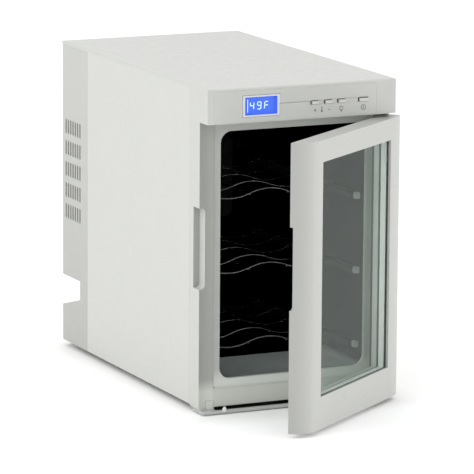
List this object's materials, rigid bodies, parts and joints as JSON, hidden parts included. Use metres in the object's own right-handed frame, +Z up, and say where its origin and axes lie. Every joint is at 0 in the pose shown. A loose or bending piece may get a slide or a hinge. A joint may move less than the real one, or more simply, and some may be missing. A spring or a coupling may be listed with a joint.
{
  "type": "wine cooler",
  "caption": "Free-standing thermoelectric wine cooler with a hinged glazed door, sliding wave-wire bottle racks and a control housing over the door.",
  "frame": {"origin": "on the floor at the centre of the rectangle of the four feet", "axes": "+Z up, -Y towards the front where the door is, +Y to the rear along the cabinet's depth, +X to the right as seen from the front, the hinge side"},
  "size_m": [0.2906, 0.6579, 0.447],
  "materials": {
    "housing_plastic": "satin moulded",
    "frame_plastic": "satin moulded",
    "side_sheet": "satin paint",
    "galvanised": "plain zinc",
    "foam": "rigid foam",
    "liner_black": "satin black",
    "cap_grey": "satin",
    "chromed_wire": "polished",
    "clear_plastic": "clear",
    "lcd": "backlit",
    "bezel_white": "polished",
    "circuit_board": "solder mask",
    "black_plastic": "satin",
    "button_plastic": "polished",
    "symbol_ink": "printed",
    "door_glass": "clear",
    "spacer_grey": "matt anodised",
    "seal_rubber": "matt",
    "gasket_vinyl": "soft",
    "bushing_plastic": "acetal",
    "steel": "turned",
    "rail_plastic": "satin",
    "foot_rubber": "matt",
    "fin_aluminium": "extruded",
    "ceramic_plate": "ceramic",
    "lamp_board_white": "solder mask",
    "sensor_plastic": "satin",
    "brass_blade": "plated"
  },
  "bodies": {
    "cabinet": {"front_frame": "frame_plastic", "mouth_surround": "frame_plastic", "top_panel": "housing_plastic", "left_side_panel": "side_sheet", "right_side_panel": "side_sheet", "base_pan": "frame_plastic", "rear_bulkhead": "galvanised", "rear_cover": "housing_plastic", "foam_insulation": "foam", "cavity_liner": "liner_black", "rack_runners": "liner_black", "runner_end_caps": "cap_grey", "control_fascia": "housing_plastic", "display_bezel": "bezel_white", "display_panel": "lcd", "display_window": "clear_plastic", "control_board": "circuit_board", "tact_switches": "black_plastic", "button_symbols": "symbol_ink", "upper_hinge_bracket": "galvanised", "upper_hinge_pin": "steel", "lower_hinge_rail": "rail_plastic", "lower_hinge_pin": "steel", "hinge_hole_blank": "frame_plastic", "door_stop_peg": "bushing_plastic", "feet": "foot_rubber", "cold_sink": "fin_aluminium", "cold_block": "fin_aluminium", "thermoelectric_module": "ceramic_plate", "hot_sink": "fin_aluminium", "cold_fan_frame": "black_plastic", "cold_fan_cover": "liner_black", "hot_fan_frame": "black_plastic", "power_board": "circuit_board", "mains_inlet": "black_plastic", "inlet_blades": "brass_blade", "lamp_board": "lamp_board_white", "lamp_lens": "clear_plastic", "temperature_sensor": "sensor_plastic", "rear_cover_screws": "steel"},
    "door": {"door_outer_frame": "housing_plastic", "door_inner_frame": "frame_plastic", "outer_pane": "door_glass", "inner_pane": "door_glass", "pane_spacer": "spacer_grey", "glazing_seal": "seal_rubber", "door_gasket": "gasket_vinyl", "door_bushings": "bushing_plastic"},
    "upper_rack": {"upper_rack": "chromed_wire"},
    "middle_rack": {"middle_rack": "chromed_wire"},
    "lower_rack": {"lower_rack": "chromed_wire"},
    "temp_up_button": {"temp_up_button": "button_plastic"},
    "temp_down_button": {"temp_down_button": "button_plastic"},
    "light_button": {"light_button": "button_plastic"},
    "power_button": {"power_button": "button_plastic"},
    "cold_fan_rotor": {"cold_fan_rotor": "black_plastic"},
    "hot_fan_rotor": {"hot_fan_rotor": "black_plastic"}
  },
  "joints": [
    {"name": "door_hinge", "type": "hinge", "parent": "cabinet", "child": "door", "pos_m": [0.136, -0.185, 0.2], "axis": [0, 0, 1], "range_deg": [-37, 68]},
    {"name": "upper_rack_slide", "type": "slide", "parent": "cabinet", "child": "upper_rack", "axis": [0, -1, 0], "range_m": [0, 0.055]},
    {"name": "middle_rack_slide", "type": "slide", "parent": "cabinet", "child": "middle_rack", "axis": [0, -1, 0], "range_m": [0, 0.055]},
    {"name": "lower_rack_slide", "type": "slide", "parent": "cabinet", "child": "lower_rack", "axis": [0, -1, 0], "range_m": [0, 0.055]},
    {"name": "temp_up_press", "type": "slide", "parent": "cabinet", "child": "temp_up_button", "axis": [0, 1, 0], "range_m": [0, 0.001], "stiffness_N_per_m": 400, "springref_m": -0.001},
    {"name": "temp_down_press", "type": "slide", "parent": "cabinet", "child": "temp_down_button", "axis": [0, 1, 0], "range_m": [0, 0.001], "stiffness_N_per_m": 400, "springref_m": -0.001},
    {"name": "light_press", "type": "slide", "parent": "cabinet", "child": "light_button", "axis": [0, 1, 0], "range_m": [0, 0.001], "stiffness_N_per_m": 400, "springref_m": -0.001},
    {"name": "power_press", "type": "slide", "parent": "cabinet", "child": "power_button", "axis": [0, 1, 0], "range_m": [0, 0.001], "stiffness_N_per_m": 400, "springref_m": -0.001},
    {"name": "cold_fan_spin", "type": "hinge", "parent": "cabinet", "child": "cold_fan_rotor", "pos_m": [0, 0.1575, 0.262], "axis": [0, 1, 0], "continuous": true},
    {"name": "hot_fan_spin", "type": "hinge", "parent": "cabinet", "child": "hot_fan_rotor", "pos_m": [0, 0.2525, 0.262], "axis": [0, 1, 0], "continuous": true}
  ]
}
